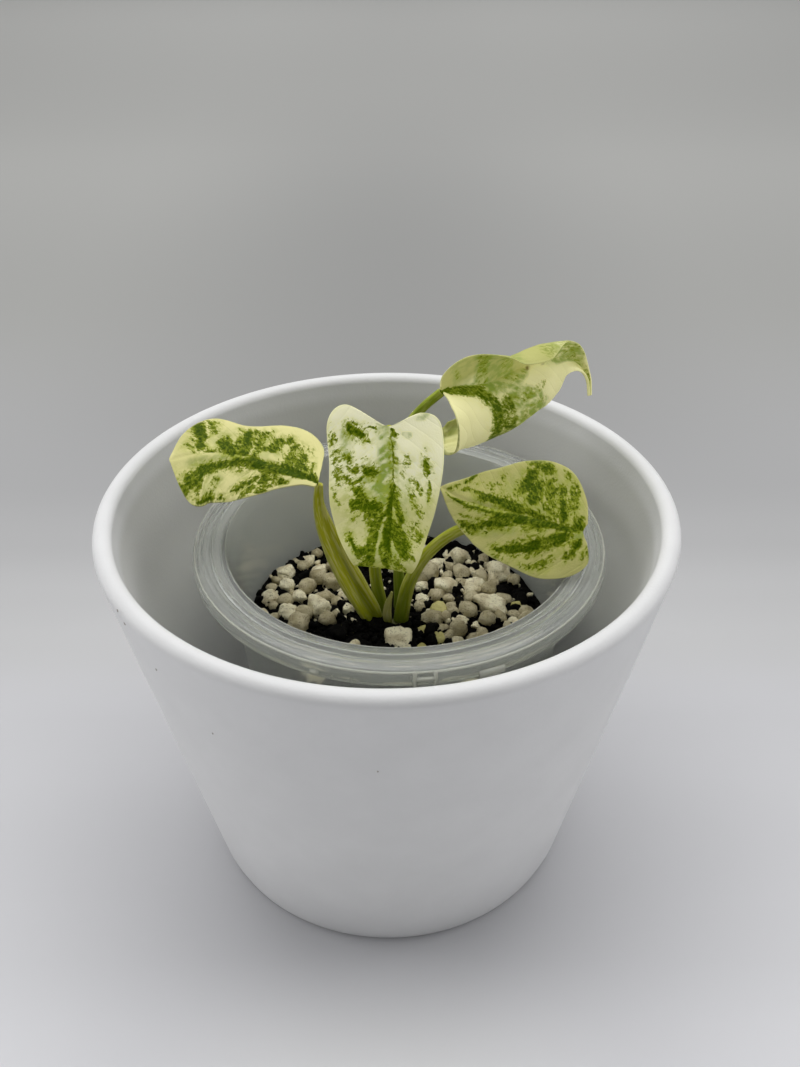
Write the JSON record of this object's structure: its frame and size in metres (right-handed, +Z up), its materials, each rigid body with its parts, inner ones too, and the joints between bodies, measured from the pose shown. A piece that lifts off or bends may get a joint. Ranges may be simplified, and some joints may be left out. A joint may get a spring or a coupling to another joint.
{
  "type": "potted variegated monstera",
  "caption": "Young cream and green variegated monstera with small leaves, in a clear nursery cup of gritty mix inside a white tapered outer pot.",
  "frame": {"origin": "centre of the outer pot's foot ring, on the surface that it stands on", "axes": "+Z up through the middle of the outer pot, +X to the right of the side the picture shows, -Y towards the viewer"},
  "size_m": [0.1442, 0.1442, 0.1423],
  "materials": {
    "pot": "matte",
    "clear_cup": "gloss",
    "mix": "matte",
    "crown": "matte",
    "stalk": "satin",
    "sheath": "matte",
    "leaf": "satin",
    "young_leaf": "satin",
    "pumice": "matte",
    "zeolite": "matte",
    "lava": "matte"
  },
  "bodies": {
    "root": {"cataphyll": "sheath", "crown_and_roots": "crown", "lava_01": "lava", "lava_02": "lava", "lava_03": "lava", "lava_04": "lava", "lava_05": "lava", "lava_06": "lava", "lava_07": "lava", "lava_08": "lava", "lava_09": "lava", "leaf_centre": "leaf", "leaf_curled": "young_leaf", "leaf_left": "leaf", "leaf_right": "leaf", "nursery_cup": "clear_cup", "outer_pot": "pot", "petiole_centre": "stalk", "petiole_curled": "stalk", "petiole_left": "stalk", "petiole_right": "stalk", "potting_mix": "mix", "pumice_01": "pumice", "pumice_02": "pumice", "pumice_03": "pumice", "pumice_04": "pumice", "pumice_05": "pumice", "pumice_06": "pumice", "pumice_07": "pumice", "pumice_08": "pumice", "pumice_09": "pumice", "pumice_10": "pumice", "pumice_11": "pumice", "pumice_12": "pumice", "pumice_13": "pumice", "pumice_14": "pumice", "pumice_15": "pumice", "pumice_16": "pumice", "pumice_17": "pumice", "pumice_18": "pumice", "pumice_19": "pumice", "pumice_20": "pumice", "pumice_21": "pumice", "pumice_22": "pumice", "pumice_23": "pumice", "pumice_24": "pumice", "pumice_25": "pumice", "pumice_26": "pumice", "pumice_27": "pumice", "pumice_28": "pumice", "pumice_29": "pumice", "pumice_30": "pumice", "pumice_31": "pumice", "zeolite_01": "zeolite", "zeolite_02": "zeolite", "zeolite_03": "zeolite", "zeolite_04": "zeolite", "zeolite_05": "zeolite"}
  },
  "joints": []
}
